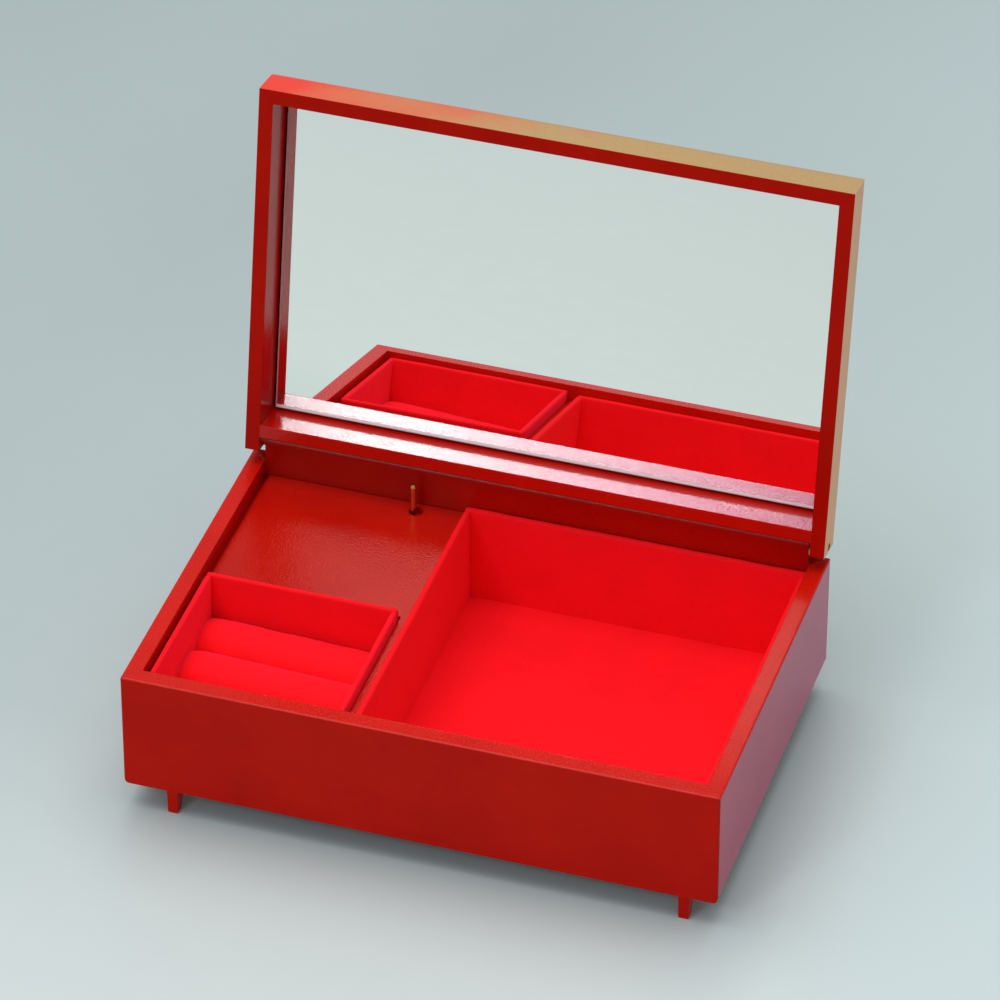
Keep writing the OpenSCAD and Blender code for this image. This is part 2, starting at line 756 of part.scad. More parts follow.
// Cast bedplate with the block that carries the comb
module bedplate() {
    color(zinc) placed() difference() {
        union() {
            translate([wind_x - bed_left, wind_y - bed_front, bottom_z]) linear_extrude(bed_t)
                rounded_rect(bed_left + bed_right, bed_front + bed_back,
                    [bed_corner_r, bed_corner_r, bed_corner_r, bed_corner_r]);
            block(drum_x, comb_back, bottom_z, drum_x + drum_l, comb_root - 0.6, axis_z - comb_t / 2);
            translate([wind_x, wind_y, bottom_z]) cylinder(h = bed_t + barrel_lift - 0.1, r = wind_r + 1.4);
        }
        translate([wind_x, wind_y, bottom_z - past])
            cylinder(h = bed_t + barrel_lift + 2 * past, r = wind_r + run_clear);
        bed_screw_places() translate([0, 0, bottom_z - past])
            cylinder(h = bed_t + 2 * past, r = bed_screw_r + run_clear);
        comb_screw_places() translate([0, 0, axis_z - comb_t / 2 - 5])
            cylinder(h = 5 + past, r = comb_screw_r + run_clear);
    }
}

// Slotted screw: head below z = 0, shank above
module screw(r, head_r, head_h, l) {
    difference() {
        union() {
            cylinder(h = l, r = r);
            translate([0, 0, -head_h]) cylinder(h = head_h, r = head_r);
        }
        translate([-head_r - past, -head_r * 0.12, -head_h - past])
            cube([2 * (head_r + past), head_r * 0.24, past + head_h * 0.45]);
    }
}

module bedplate_screws() {
    color(steel) placed() bed_screw_places()
        screw(bed_screw_r, bed_screw_head_r, bed_screw_head_h, bed_top + 1);
}

// Arch over the spring barrel with the cylinder's left bearing
module barrel_bridge() {
    top = axis_z + 2.4;
    arch = axis_z - 2;
    color(zinc) placed() difference() {
        block(bridge_x, wind_y - bridge_half - bridge_leg / 2, bed_top, bridge_x + bridge_t,
            wind_y + bridge_half + bridge_leg / 2, top);
        block(bridge_x - past, wind_y - bridge_half + bridge_leg / 2, bed_top - past,
            bridge_x + bridge_t + past, wind_y + bridge_half - bridge_leg / 2, arch);
        rod_x(bridge_x - past, bridge_x + bridge_t + past, wind_y, axis_z, arbor_r + run_clear);
    }
}

// Plate with the right-hand bearings and two arms that hold the governor's shaft
module governor_frame() {
    arm_t = 1.2;
    arm_half = 1.6;
    color(zinc) placed() difference() {
        union() {
            block(frame_x, wind_y - 3, bed_top, frame_x + frame_t, frame_back, arm_high + arm_t);
            for (z = [arm_low, arm_high]) {
                block(worm_x - arm_half, idler_y - 1, z, frame_x + past / 2, frame_back, z + arm_t);
                block(worm_x - arm_half, idler_y - 1, z, worm_x + arm_half, worm_y + arm_half, z + arm_t);
            }
        }
        rod_x(frame_x - past, frame_x + frame_t + past, wind_y, axis_z, arbor_r + run_clear);
        rod_x(frame_x - past, frame_x + frame_t + past, idler_y, axis_z, arbor_r);
        rod_x(frame_x - past, frame_x + frame_t + past, lever_y, lever_z, arbor_r);
        translate([worm_x, worm_y, arm_low - past])
            cylinder(h = arm_high - arm_low + arm_t + 2 * past, r = shaft_r + run_clear);
    }
}

// Tuned comb: slots part its teeth, and the bass teeth are the longest
module music_comb() {
    color(steel) placed() difference() {
        block(drum_x, comb_back, axis_z - comb_t / 2, drum_x + drum_l, comb_y, axis_z + comb_t / 2);
        for (note = [1 : notes - 1])
            block(drum_x + note * comb_pitch - slot_w / 2, comb_root + note * 0.16, axis_z - comb_t,
                drum_x + note * comb_pitch + slot_w / 2, comb_y + past, axis_z + comb_t);
        comb_screw_places() translate([0, 0, axis_z - comb_t])
            cylinder(h = 2 * comb_t, r = comb_screw_r + run_clear);
    }
}

module comb_screws() {
    color(brass) placed() comb_screw_places() translate([0, 0, axis_z + comb_t / 2])
        rotate([180, 0, 0]) screw(comb_screw_r, comb_screw_r * 1.9, 1.1, comb_t + 4);
}

// Outline of a spur wheel with straight-sided teeth and room for backlash
module spur(teeth, m) {
    pitch_r = m * teeth / 2;
    step = 360 / teeth;
    root_r = pitch_r - 1.1 * m;
    tip_r = pitch_r + 0.8 * m;
    polygon([for (i = [0 : teeth - 1]) each [
        root_r * [cos((i - 0.3) * step), sin((i - 0.3) * step)],
        tip_r * [cos((i - 0.1) * step), sin((i - 0.1) * step)],
        tip_r * [cos((i + 0.1) * step), sin((i + 0.1) * step)],
        root_r * [cos((i + 0.3) * step), sin((i + 0.3) * step)]
    ]]);
}

// Spur wheel on an axis along X; turn sets where its first tooth points
module spur_x(x0, x1, y, z, teeth, m, turn) {
    translate([x0, y, z]) rotate([90, 0, 90]) rotate([0, 0, turn]) linear_extrude(x1 - x0)
        spur(teeth, m);
}

// Drum for the mainspring with the crown wheel's teeth on its rim
module spring_barrel() {
    step = 360 / crown_teeth;
    half_root = crown_m * 0.48;
    half_tip = crown_m * 0.22;
    tooth_h = crown_m * 1.9;
    color(brass) placed() translate([wind_x, wind_y, barrel_z]) {
        difference() {
            cylinder(h = barrel_h, r = barrel_r);
            translate([0, 0, barrel_wall])
                cylinder(h = barrel_h - 2 * barrel_wall, r = barrel_r - barrel_wall);
            translate([0, 0, -past]) cylinder(h = barrel_h + 2 * past, r = wind_r + run_clear);
        }
        for (i = [0 : crown_teeth - 1]) rotate([0, 0, (i + 0.5) * step])
            along_x(crown_r - crown_face / 2, crown_r + crown_face / 2)
                translate([0, barrel_h - 0.1]) polygon([
                    [-half_root, 0], [half_root, 0], [half_tip, tooth_h + 0.1], [-half_tip, tooth_h + 0.1]
                ]);
    }
}

// Ribbon spring wound in a spiral from the arbor to the drum
module mainspring() {
    turns = 7;
    steps = turns * 12;
    ribbon = 0.3;
    r0 = wind_r + 0.6;
    r1 = barrel_r - barrel_wall - 0.6;
    function at(i, r) = let (a = 30 * i, rr = r0 + (r1 - r0) * i / steps + r) rr * [cos(a), sin(a)];
    color(steel) placed() translate([wind_x, wind_y, barrel_z + barrel_wall + 0.4])
        linear_extrude(barrel_h - 2 * barrel_wall - 0.8) polygon([
            for (i = [0 : steps]) at(i, ribbon / 2),
            for (i = [steps : -1 : 0]) at(i, -ribbon / 2)
        ]);
}

module winding_arbor() {
    color(steel) placed() translate([wind_x, wind_y, -key_gap - key_wing_h])
        cylinder(h = barrel_top + 0.8 + key_gap + key_wing_h, r = wind_r);
}

// Winged key below the bottom board
module winding_key() {
    hub_r = wind_r + 1.2;
    color(brass) placed() translate([wind_x, wind_y, -key_gap - key_wing_h]) difference() {
        union() {
            cylinder(h = key_wing_h, r = hub_r);
            for (turn = [0, 180]) rotate([90, 0, turn]) translate([0, 0, -key_wing_t / 2])
                linear_extrude(key_wing_t) {
                    square([key_reach - key_wing_h / 2, key_wing_h]);
                    translate([key_reach - key_wing_h / 2, key_wing_h / 2]) circle(key_wing_h / 2);
                }
        }
        translate([0, 0, -past]) cylinder(h = key_wing_h + 2 * past, r = wind_r);
    }
}

// Drum of the cylinder with a row of tune pins for each tooth of the comb
module pinned_cylinder() {
    color(brass) placed() difference() {
        union() {
            rod_x(drum_x, drum_x + drum_l, wind_y, axis_z, drum_r);
            for (note = [0 : notes - 1], beat = [0 : 3])
                translate([drum_x + (note + 0.5) * comb_pitch, wind_y, axis_z])
                    rotate([(note * 47 + beat * 83 + 20) % 360, 0, 0]) translate([0, 0, drum_r - 0.2])
                        cylinder(h = music_pin_h + 0.2, r = music_pin_r, $fn = 16);
        }
        rod_x(drum_x - past, drum_x + drum_l + past, wind_y, axis_z, arbor_r);
    }
}

// Arbor of the cylinder with its pinion at the barrel and its wheel at the train
module cylinder_arbor() {
    color(steel) placed() {
        rod_x(bridge_x - 0.4, frame_x + frame_t + 0.2, wind_y, axis_z, arbor_r);
        spur_x(wind_x + crown_r - crown_face / 2, wind_x + crown_r + crown_face / 2, wind_y, axis_z,
            pinion_teeth, crown_m, -90);
        spur_x(drum_wheel_x, drum_wheel_x + wheel_t, wind_y, axis_z, drum_wheel_teeth, train_m, 0);
    }
}

// Idler: a pinion on the cylinder's wheel and a worm wheel at the governor
module idler_wheel() {
    color(brass) placed() difference() {
        union() {
            spur_x(drum_wheel_x - 0.2, worm_wheel_x + 0.1, idler_y, axis_z, idler_pinion_teeth, train_m,
                180 / idler_pinion_teeth);
            spur_x(worm_wheel_x, worm_wheel_x + wheel_t, idler_y, axis_z, worm_wheel_teeth, train_m, 0);
        }
        rod_x(drum_wheel_x - past, worm_wheel_x + wheel_t + past, idler_y, axis_z, arbor_r + run_clear);
    }
}

module idler_axle() {
    color(steel) placed() {
        rod_x(drum_wheel_x - 0.7, frame_x + frame_t, idler_y, axis_z, arbor_r);
        rod_x(drum_wheel_x - 0.7, drum_wheel_x - 0.3, idler_y, axis_z, arbor_r * 1.7);
    }
}

// Worm on its upright shaft, turned once for each tooth of its wheel
module governor_worm() {
    lead = PI * train_m;
    root = worm_r - 0.42;
    color(steel) placed() translate([worm_x, worm_y, 0]) {
        translate([0, 0, arm_low + 0.1]) cylinder(h = arm_high - arm_low + 1, r = shaft_r);
        translate([0, 0, worm_z]) cylinder(h = worm_l, r = root);
        translate([0, 0, worm_z]) linear_extrude(worm_l, twist = -360 * worm_l / lead,
            slices = floor(10 * worm_l / lead)) rotate([0, 0, 90 - 180 * worm_l / lead])
                translate([worm_r - 0.62, 0]) circle(0.88, $fn = 10);
    }
}

module governor_fan() {
    color(steel) placed() translate([worm_x, worm_y, fan_z]) difference() {
        union() {
            cylinder(h = fan_h, r = shaft_r + 0.6);
            block(-fan_r, -fan_t / 2, 0, fan_r, fan_t / 2, fan_h);
        }
        translate([0, 0, -past]) cylinder(h = fan_h + 2 * past, r = shaft_r);
    }
}

// Brass rod through the deck with a collar that stops it under the cleat
module stop_pin() {
    color(brass) placed() translate([stop_x, stop_y, 0]) rotate_extrude() polygon([
        [0, stop_bottom], [stop_r * 0.4, stop_bottom], [stop_r, stop_bottom + 1],
        [stop_r, deck_z - cleat - stop_collar_h - 0.2],
        [stop_collar_r, deck_z - cleat - stop_collar_h - 0.2], [stop_collar_r, deck_z - cleat - 0.2],
        [stop_r, deck_z - cleat - 0.2], [stop_r, stop_top - 1], [stop_r * 0.45, stop_top], [0, stop_top]
    ]);
}

// Lever from its pivot to a pad under the stop pin, with a finger over the fan
module stop_lever() {
    finger_y = worm_y + fan_r - 0.6;
    low = lever_z - lever_bar / 2;
    high = lever_z + lever_bar / 2;
    color(steel) placed() difference() {
        union() {
            rod_x(lever_x, lever_x + lever_t, lever_y, lever_z, 2);
            block(lever_x, lever_y, low, lever_x + lever_t, stop_y + 2, high);
            block(stop_x - stop_r - 0.1, stop_y - 2, high - 0.2, lever_x + lever_t, stop_y + 2, pad_top);
            block(worm_x + 0.6, finger_y, high - 1, lever_x + 0.1, finger_y + 1, high);
        }
        rod_x(lever_x - past, lever_x + lever_t + past, lever_y, lever_z, arbor_r + run_clear);
    }
}

module lever_pivot() {
    color(brass) placed() {
        rod_x(frame_x, lever_x + lever_t + 0.3, lever_y, lever_z, arbor_r);
        rod_x(lever_x + lever_t + 0.2, lever_x + lever_t + 0.9, lever_y, lever_z, arbor_r * 1.9);
    }
}

front_wall();
back_wall();
left_wall();
right_wall();
bottom_board();
foot_front_left();
foot_front_right();
foot_back_left();
foot_back_right();
long_divider();
cross_wall();
deck();
left_cleat();
back_cleat();
tray_ledges();
lining_floor();
lining_front();
lining_back();
lining_left();
lining_right();
tray_base();
tray_front();
tray_back();
tray_left();
tray_right();
ring_roll_front();
ring_roll_middle();
ring_roll_back();
lid_left_rail();
lid_right_rail();
lid_front_rail();
lid_hinge_rail();
lid_top();
mirror();
hinge_pin_left();
hinge_pin_right();
bedplate();
bedplate_screws();
barrel_bridge();
governor_frame();
music_comb();
comb_screws();
spring_barrel();
mainspring();
winding_arbor();
winding_key();
pinned_cylinder();
cylinder_arbor();
idler_wheel();
idler_axle();
governor_worm();
governor_fan();
stop_pin();
stop_lever();
lever_pivot();
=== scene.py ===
"""Looks for the musical vanity box: lacquer, felt, mirror, brass and the studio round it.

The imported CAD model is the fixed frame. Felt-covered boards and ring rolls are modelled
here as real cloth-covered shapes that stand for the plain CAD boards.
"""

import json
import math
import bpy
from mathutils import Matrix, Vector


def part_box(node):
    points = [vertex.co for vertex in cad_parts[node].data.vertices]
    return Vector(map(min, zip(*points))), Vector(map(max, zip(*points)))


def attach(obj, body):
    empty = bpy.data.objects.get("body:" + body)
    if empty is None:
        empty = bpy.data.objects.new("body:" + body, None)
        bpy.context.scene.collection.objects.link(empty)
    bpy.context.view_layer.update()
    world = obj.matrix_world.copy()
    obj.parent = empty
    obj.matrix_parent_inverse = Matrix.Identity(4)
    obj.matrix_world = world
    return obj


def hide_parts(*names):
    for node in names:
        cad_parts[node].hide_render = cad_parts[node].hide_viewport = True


bl_info = {
    "name": "Vanity Box Looks",
    "version": (1, 0, 0),
    "blender": (4, 5, 0),
    "location": "View3D > Sidebar > Vanity Box",
    "description": "Finishes, felt linings and studio for the musical vanity box",
    "category": "Object",
}

import bmesh
import bpy
from mathutils import Matrix, Vector, noise

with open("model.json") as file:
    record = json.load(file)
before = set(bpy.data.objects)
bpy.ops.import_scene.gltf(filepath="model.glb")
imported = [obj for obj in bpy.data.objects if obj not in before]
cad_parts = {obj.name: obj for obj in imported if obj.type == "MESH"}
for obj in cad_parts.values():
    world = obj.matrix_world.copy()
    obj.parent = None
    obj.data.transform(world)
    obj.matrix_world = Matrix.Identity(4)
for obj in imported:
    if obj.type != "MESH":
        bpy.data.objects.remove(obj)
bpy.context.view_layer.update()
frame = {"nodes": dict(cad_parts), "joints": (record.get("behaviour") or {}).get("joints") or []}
NODES = frame["nodes"]

MM = 0.001
UP = Vector((0.0, 0.0, 1.0))
LEFT = Vector((-1.0, 0.0, 0.0))
RIGHT = -LEFT

# Which nodes take which finish
LACQUERED = [
    "front_wall", "left_wall", "left_cleat",
    "foot_front_left", "foot_front_right", "foot_back_left", "foot_back_right",
]
RIMMED = ["front_wall", "left_wall", "right_wall"]
WOODEN = ["bottom_board", "long_divider", "cross_wall", "back_cleat", "tray_ledges"]
BRASS_NODES = [
    "hinge_pin_left", "hinge_pin_right", "comb_screws", "spring_barrel", "winding_key",
    "pinned_cylinder", "idler_wheel", "stop_pin", "lever_pivot",
]
STEEL_NODES = [
    "bedplate_screws", "music_comb", "mainspring", "winding_arbor", "cylinder_arbor",
    "idler_axle", "governor_worm", "governor_fan", "stop_lever",
]
CAST_NODES = ["bedplate", "barrel_bridge", "governor_frame"]

# Each lacquered surface's departures from the plain values of lacquer_material; a tone over 1 is
# painted light, under 1 painted shade
LACQUERS = {
    "case_lacquer": dict(reflection_sheen=0.01, gloss=0.14, warm=0.2, tone=1.1),
    "rim_lacquer": dict(
        rough=0.17, peel=2.0, reflection_sheen=0.2, gloss=0.25, warm=0.7, tone=1.05, grain=0.65, sand=0.14
    ),
    "grained_lacquer": dict(
        rough=0.12, peel=3.8, reflection_sheen=0.02, gloss=0.31, warm=0.6, tone=0.9, grain=0.66, sand=0.03
    ),
    # The back wall's low tone is painted shade
    "wall_lacquer": dict(
        peel=2.2, reflection_sheen=0.0, gloss=0.16, warm=0.9, tone=0.74, grain=0.66, edge=0.6, sand=0.1
    ),
    # A full violet sheen on the right wall is a painted reflection of the floor
    "sheen_reflection_lacquer": dict(rough=0.2, reflection_sheen=1.0),
    "lid_lacquer": dict(rough=0.2, peel=0.6, reflection_sheen=0.04, gloss=0.12, tone=0.84),
    "hinge_rail_lacquer": dict(
        rough=0.11, peel=1.8, reflection_sheen=0.06, gloss=0.31, warm=0.9, grain=0.6, sand=0.11
    ),
}

# Each felt's sheen: weight and tint
FELTS = {
    "red_felt": (0.3, (1.0, 0.06, 0.16)),
    "red_felt_walls": (0.9, (1.0, 0.02, 0.03)),
    "red_felt_tray": (0.8, (1.0, 0.03, 0.08)),
    "red_felt_rolls": (0.5, (1.0, 0.07, 0.24)),
}

# Each metal: colour, roughness, depth of its scratches and its nodes
METALS = {
    "brass": ((0.72, 0.41, 0.12), 0.16, 0.006 * MM, BRASS_NODES),
    "steel": ((0.55, 0.56, 0.58), 0.28, 0.008 * MM, STEEL_NODES),
    "cast_plate": ((0.6, 0.6, 0.61), 0.42, 0.02 * MM, CAST_NODES),
}

# Where the coral ground gives way to gold, from left to right, and how far clouds shift it
CORAL_END, GOLD_START, CLOUD_SHIFT = -0.092, 0.012, 0.030

# Height of the mirror's white border along the hinge edge, a painted highlight: where it starts to
# fade and where the silver is full
GLINT_FADE, GLINT_END = 1.4 * MM, 1.6 * MM

# A face takes a finish when its normal's share along the finish's direction is over this
FACE_SHARE, FLAT_SHARE, SQUARE_SHARE = 0.25, 0.95, 0.99

# Waves in the felt of boards and of rolls: number of waves along one metre, and share
BOARD_WAVES = [(70.0, 0.7), (260.0, 0.3)]
ROLL_WAVES = [(90.0, 0.6), (300.0, 0.4)]

# Felt past the lining boards: sideways, its rise off the bottom, and over the top
LINING_EDGE, LINING_RISE, LINING_TOP = 0.15 * MM, 0.1 * MM, 0.2 * MM
# Floor pad: felt over its board, rounding of its edge, and its mesh step against the boards'
PAD_FELT, PAD_CROWN, PAD_STEP = 0.9 * MM, 0.6 * MM, 1.6
# Felt past the tray's walls: sideways, below and over the top
TRAY_EDGE, TRAY_SKIRT, TRAY_TOP = 0.1 * MM, 1.9 * MM, 0.15 * MM
# Felt past the ring rolls: at the ends and at the flanks
ROLL_FELT = Vector((0.2 * MM, 0.08 * MM, 0.0))

# Arch of a ring roll: its mesh steps, its fullness (1 is a circle), and its foot's share of
# the flank's height
ROLL_STEPS, ROLL_FULLNESS, ROLL_FOOT = 28, 0.86, 0.2
# A roll's ends tuck in much over a short reach and a little over a long one
SHORT_TUCK, SHORT_REACH, LONG_TUCK, LONG_REACH = 0.16, 1.6 * MM, 0.05, 7 * MM
# Gain of the felt's waves on a roll, and the highest bulge that they may make
ROLL_GAIN, ROLL_BULGE = 1.4, 0.05 * MM

# Studio: the surroundings, the overhead softbox and the front panel of three strips
SKY_COLOUR = (0.88, 0.95, 1.0)
OVERHEAD_AT, OVERHEAD_AIM = Vector((-0.15, 0.14, 1.35)), Vector((0.0, 0.0, 0.0))
OVERHEAD_SIZE, OVERHEAD_COLOUR = (1.5, 1.3), (1.0, 0.99, 0.97)
PANEL_AT, PANEL_AIM, PANEL_HEIGHT = Vector((-0.36, -1.11, 0.96)), Vector((0.0, 0.05, 0.06)), 0.20
# Strips of the front panel: name, shift to the right, width, share of its power, colour
FRONT_STRIPS = [
    ("bright", -0.0925, 0.105, 0.51, (0.80, 0.92, 1.0)),
    ("middle", 0.010, 0.100, 0.28, (0.84, 0.82, 1.0)),
    ("soft", 0.1125, 0.105, 0.20, (0.80, 0.70, 1.0)),
]

# Floor: half its width, its painted brightening along X and Y, and where the painted pool of light
# in front fades in along Y
FLOOR_HALF = 4.0
FLOOR_SLOPE_X, FLOOR_SLOPE_Y, SLOPE_REACH, SLOPE_DEPTH = 1.6, -0.7, 0.45, 0.22
LIGHT_POOL_START, LIGHT_POOL_FULL = -0.04, -0.22


# ---------------------------------------------------------------- settings


class VanityFinish(bpy.types.PropertyGroup):
    """Colours and surface character of the hard parts."""

    lacquer: bpy.props.FloatVectorProperty(
        name="Lacquer", description="Base colour of the red lacquer",
        subtype="COLOR", size=3, min=0.0, max=1.0, default=(0.52, 0.0062, 0.0012),
    )
    lacquer_dark: bpy.props.FloatVectorProperty(
        name="Lacquer shade", description="Darker drift in the red lacquer",
        subtype="COLOR", size=3, min=0.0, max=1.0, default=(0.46, 0.0042, 0.0010),
    )
    gold: bpy.props.FloatVectorProperty(
        name="Gold", description="Base colour of the gold lacquer on the lid's outside",
        subtype="COLOR", size=3, min=0.0, max=1.0, default=(0.42, 0.265, 0.115),
    )
    coral: bpy.props.FloatVectorProperty(
        name="Coral", description="Red ground that shows through the gold at the lid's left",
        subtype="COLOR", size=3, min=0.0, max=1.0, default=(0.72, 0.045, 0.028),
    )
    # Painted light: a lighter, pinker copy of the gold for the lid's right-facing side
    right_lit_gold: bpy.props.FloatVectorProperty(
        name="Side gold", description="Pinker gold on the lid's right side",
        subtype="COLOR", size=3, min=0.0, max=1.0, default=(0.80, 0.39, 0.20),
    )
    peel: bpy.props.FloatProperty(
        name="Orange peel", description="Depth of the lacquer's fine orange peel",
        unit="LENGTH", min=0.0, max=0.0005, precision=6, default=0.00003,
    )
    peel_grain: bpy.props.FloatProperty(
        name="Peel grain", description="Number of orange peel dimples along one metre",
        min=100.0, max=4000.0, default=1900.0,
    )
    # Painted reflection: the violet of the floor's reflection, given to the lacquer as a sheen at
    # glancing views
    reflection_sheen_tint: bpy.props.FloatVectorProperty(
        name="Bloom", description="Colour of the faint haze on the lacquer at a glancing view",
        subtype="COLOR", size=3, min=0.0, max=1.0, default=(0.34, 0.34, 0.80),
    )
    mirror_tint: bpy.props.FloatVectorProperty(
        name="Mirror tint", description="Colour of the silvered glass",
        subtype="COLOR", size=3, min=0.0, max=1.0, default=(0.93, 0.975, 0.935),
    )


class VanityFelt(bpy.types.PropertyGroup):
    """Shape and colour of the felt."""

    colour: bpy.props.FloatVectorProperty(
        name="Felt", description="Base colour of the felt",
        subtype="COLOR", size=3, min=0.0, max=1.0, default=(0.95, 0.0060, 0.0120),
    )
    wall: bpy.props.FloatProperty(
        name="Covered wall", description="Thickness of a felt-covered lining board",
        unit="LENGTH", min=0.0012, max=0.005, default=0.0021,
    )
    crown: bpy.props.FloatProperty(
        name="Edge rounding", description="Rounding of a covered board's top edge",
        unit="LENGTH", min=0.0003, max=0.002, default=0.0009,
    )
    lump: bpy.props.FloatProperty(
        name="Unevenness", description="Depth of the soft waves in the felt",
        unit="LENGTH", min=0.0, max=0.001, default=0.00022,
    )
    lean: bpy.props.FloatProperty(
        name="Roll lean", description="Drop of a ring roll's crown towards its right end",
        unit="LENGTH", min=0.0, max=0.004, default=0.0033,
    )
    cut: bpy.props.FloatProperty(
        name="Mesh step", description="Distance between mesh points on the felt",
        unit="LENGTH", min=0.0005, max=0.005, default=0.0016,
    )


class VanityStage(bpy.types.PropertyGroup):
    """Camera and light."""

    azimuth: bpy.props.FloatProperty(
        name="Azimuth", description="Camera's turn round the box from the front",
        subtype="ANGLE", default=math.radians(17.573),
    )
    elevation: bpy.props.FloatProperty(
        name="Elevation", description="Camera's height above the horizon",
        subtype="ANGLE", default=math.radians(37.039),
    )
    roll: bpy.props.FloatProperty(
        name="Roll", description="Camera's turn about its own axis",
        subtype="ANGLE", default=math.radians(0.104),
    )
    distance: bpy.props.FloatProperty(
        name="Distance", description="Distance from the camera to its target",
        unit="LENGTH", min=0.3, max=10.0, default=2.181564,
    )
    target: bpy.props.FloatVectorProperty(
        name="Target", description="Point that the camera looks at",
        subtype="TRANSLATION", size=3, default=(-0.011855, 0.044400, 0.054842),
    )
    lens: bpy.props.FloatProperty(
        name="Lens", description="Focal length on a 36 mm sensor",
        unit="CAMERA", min=20.0, max=500.0, default=237.32,
    )
    floor: bpy.props.FloatVectorProperty(
        name="Floor", description="Colour of the studio floor",
        subtype="COLOR", size=3, min=0.0, max=1.0, default=(0.43, 0.505, 0.505),
    )
    # Painted light: a brighter floor colour in front, which the mirror shows
    light_pool: bpy.props.FloatVectorProperty(
        name="Apron", description="Floor in front of the picture, which the mirror shows",
        subtype="COLOR", size=3, min=0.0, max=1.0, default=(0.546, 0.586, 0.566),
    )
    overhead: bpy.props.FloatProperty(
        name="Overhead light", description="Power of the large overhead softbox",
        unit="POWER", min=0.0, max=200.0, default=18.6,
    )
    panel: bpy.props.FloatProperty(
        name="Front panel", description="Power of the bright panel at the front left",
        unit="POWER", min=0.0, max=100.0, default=2.9,
    )
    fill: bpy.props.FloatProperty(
        name="Fill", description="Strength of the pale surroundings",
        min=0.0, max=5.0, default=0.50,
    )


# ---------------------------------------------------------------- node helpers


class Tree:
    """Short way to write a material's node tree."""

    def __init__(self, name):
        self.mat = bpy.data.materials.new(name)
        self.mat.use_nodes = True
        self.nodes = self.mat.node_tree.nodes
        self.links = self.mat.node_tree.links
        self.nodes.clear()
        self.out = self.nodes.new("ShaderNodeOutputMaterial")

    def add(self, kind, inputs=None, **settings):
        node = self.nodes.new("ShaderNode" + kind)
        for key, value in settings.items():
            setattr(node, key, value)
        for key, value in (inputs or {}).items():
            if isinstance(value, bpy.types.NodeSocket):
                self.links.new(value, node.inputs[key])
            else:
                node.inputs[key].default_value = value
        return node

    def place(self):
        """Coordinates that stay with the object."""
        return self.add("TexCoord").outputs["Object"]

    def split(self, vector):
        """The three coordinates of a vector, by letter."""
        return self.add("SeparateXYZ", {"Vector": vector}).outputs

    def stretch(self, vector, scale):
        """Coordinates squeezed across X, for marks that run along it."""
        node = self.add("Mapping", {"Vector": vector, "Scale": (1.0, scale, scale)})
        return node.outputs["Vector"]

    def math(self, operation, *values):
        node = self.add("Math", dict(enumerate(values)), operation=operation)
        return node.outputs["Value"]

    def noise(self, vector, scale, detail=3.0, rough=0.55):
        node = self.add(
            "TexNoise",
            {"Vector": vector, "Scale": scale, "Detail": detail, "Roughness": rough},
        )
        return node.outputs["Fac"]

    def span(self, value, a0, a1, b0, b1):
        """Maps a0..a1 to b0..b1, clamped."""
        node = self.add(
            "MapRange",
            {"Value": value, "From Min": a0, "From Max": a1, "To Min": b0, "To Max": b1},
        )
        return node.outputs["Result"]

    def level(self, value, low=0.0, high=1.0):
        """Spreads the middle of a noise over low..high."""
        return self.span(value, 0.3, 0.7, low, high)

    def mix(self, factor, a, b):
        """Mixes two colours, which are inputs 6 and 7 and output 2 of the node."""
        node = self.add("Mix", data_type="RGBA")
        for index, value in ((0, factor), (6, a), (7, b)):
            if isinstance(value, bpy.types.NodeSocket):
                self.links.new(value, node.inputs[index])
            elif index == 0:
                node.inputs[index].default_value = value
            else:
                node.inputs[index].default_value = (*value, 1.0)
        return node.outputs[2]

    def bump(self, height, distance, strength=1.0, normal=None):
        inputs = {"Height": height, "Distance": distance, "Strength": strength}
        if normal is not None:
            inputs["Normal"] = normal
        return self.add("Bump", inputs).outputs["Normal"]

    def shader(self, inputs):
        node = self.add("BsdfPrincipled", inputs)
        self.links.new(node.outputs["BSDF"], self.out.inputs["Surface"])
        return self.mat


def paint(nodes, mat):
    for name in nodes:
        data = NODES[name].data
        data.materials.clear()
        data.materials.append(mat)


def dim(colour, share):
    return tuple(c * share for c in colour)


# ---------------------------------------------------------------- materials


